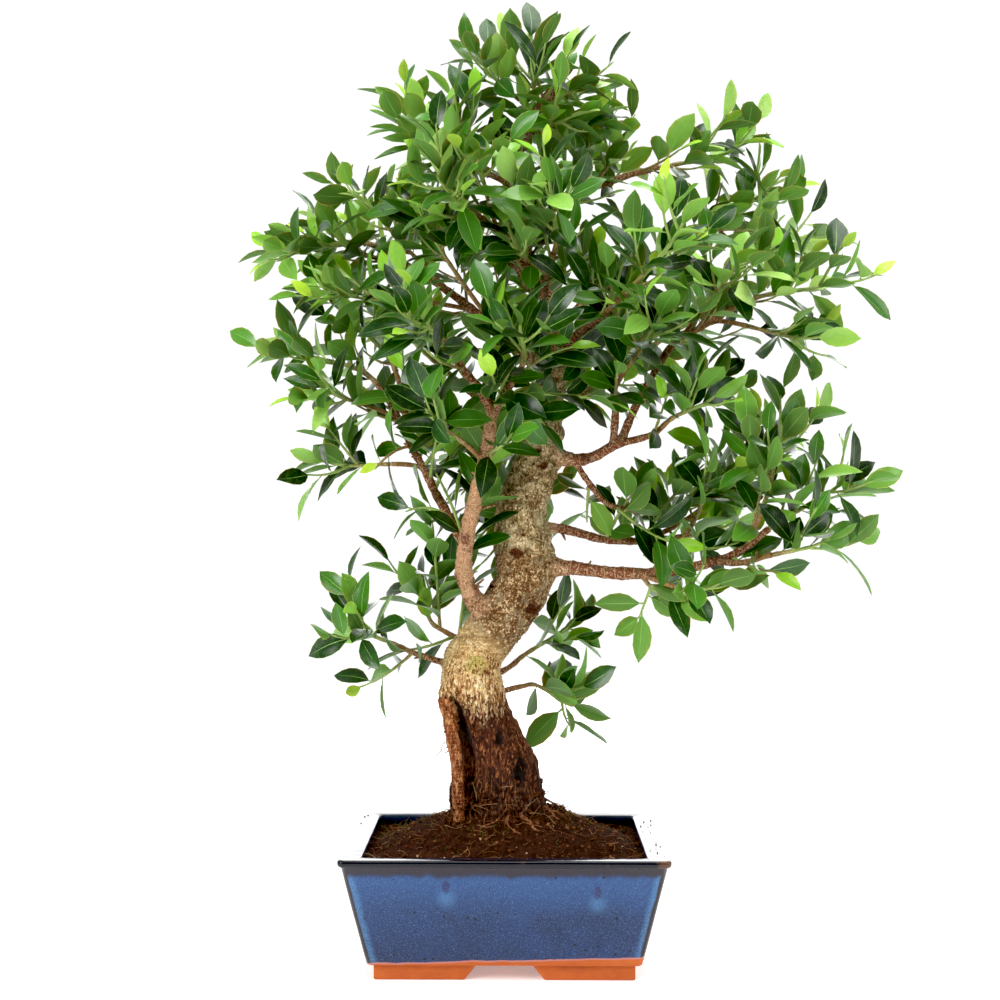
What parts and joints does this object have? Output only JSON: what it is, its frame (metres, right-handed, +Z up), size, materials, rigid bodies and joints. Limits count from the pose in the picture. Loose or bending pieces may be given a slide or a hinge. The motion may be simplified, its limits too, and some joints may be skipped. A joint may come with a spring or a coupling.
{
  "type": "chinese banyan bonsai",
  "caption": "Potted chinese banyan bonsai: a leaning trunk with an aerial root, spreading limbs and glossy leafy sprays, in a glazed rectangular pot with unglazed feet.",
  "frame": {"origin": "bottom centre of the whole plant's bounding box, on the surface that the pot's feet stand on", "axes": "+Z up, +X to the right along the pot's long side, +Y away from the viewer, towards the pot's back"},
  "size_m": [0.6194, 0.4058, 0.9142],
  "materials": {
    "pot_glaze": "glossy mottled blue glaze with unglazed terracotta feet",
    "soil": "rough dark peat",
    "bark": "rough bark",
    "leaf": "glossy deep green leaves on green shoots",
    "screen": "matte"
  },
  "bodies": {
    "root": {"pot": "pot_glaze", "drain_screen_left": "screen", "drain_screen_right": "screen", "soil": "soil", "wood": "bark", "spray_01": "leaf", "spray_02": "leaf", "spray_03": "leaf", "spray_04": "leaf", "spray_05": "leaf", "spray_06": "leaf", "spray_07": "leaf", "spray_08": "leaf", "spray_09": "leaf", "spray_10": "leaf", "spray_11": "leaf", "spray_12": "leaf", "spray_13": "leaf", "spray_14": "leaf", "spray_15": "leaf", "spray_16": "leaf", "spray_17": "leaf", "spray_18": "leaf", "spray_19": "leaf", "spray_20": "leaf", "spray_21": "leaf", "spray_22": "leaf", "spray_23": "leaf", "spray_24": "leaf", "spray_25": "leaf", "spray_26": "leaf", "spray_27": "leaf", "spray_28": "leaf", "spray_29": "leaf", "spray_30": "leaf", "spray_31": "leaf", "spray_32": "leaf", "spray_33": "leaf", "spray_34": "leaf", "spray_35": "leaf", "spray_36": "leaf", "spray_37": "leaf", "spray_38": "leaf", "spray_39": "leaf", "spray_40": "leaf", "spray_41": "leaf", "spray_42": "leaf", "spray_43": "leaf", "spray_44": "leaf", "spray_45": "leaf", "spray_46": "leaf", "spray_47": "leaf", "spray_48": "leaf", "spray_49": "leaf", "spray_50": "leaf", "spray_51": "leaf", "spray_52": "leaf", "spray_53": "leaf", "spray_54": "leaf"}
  },
  "joints": []
}
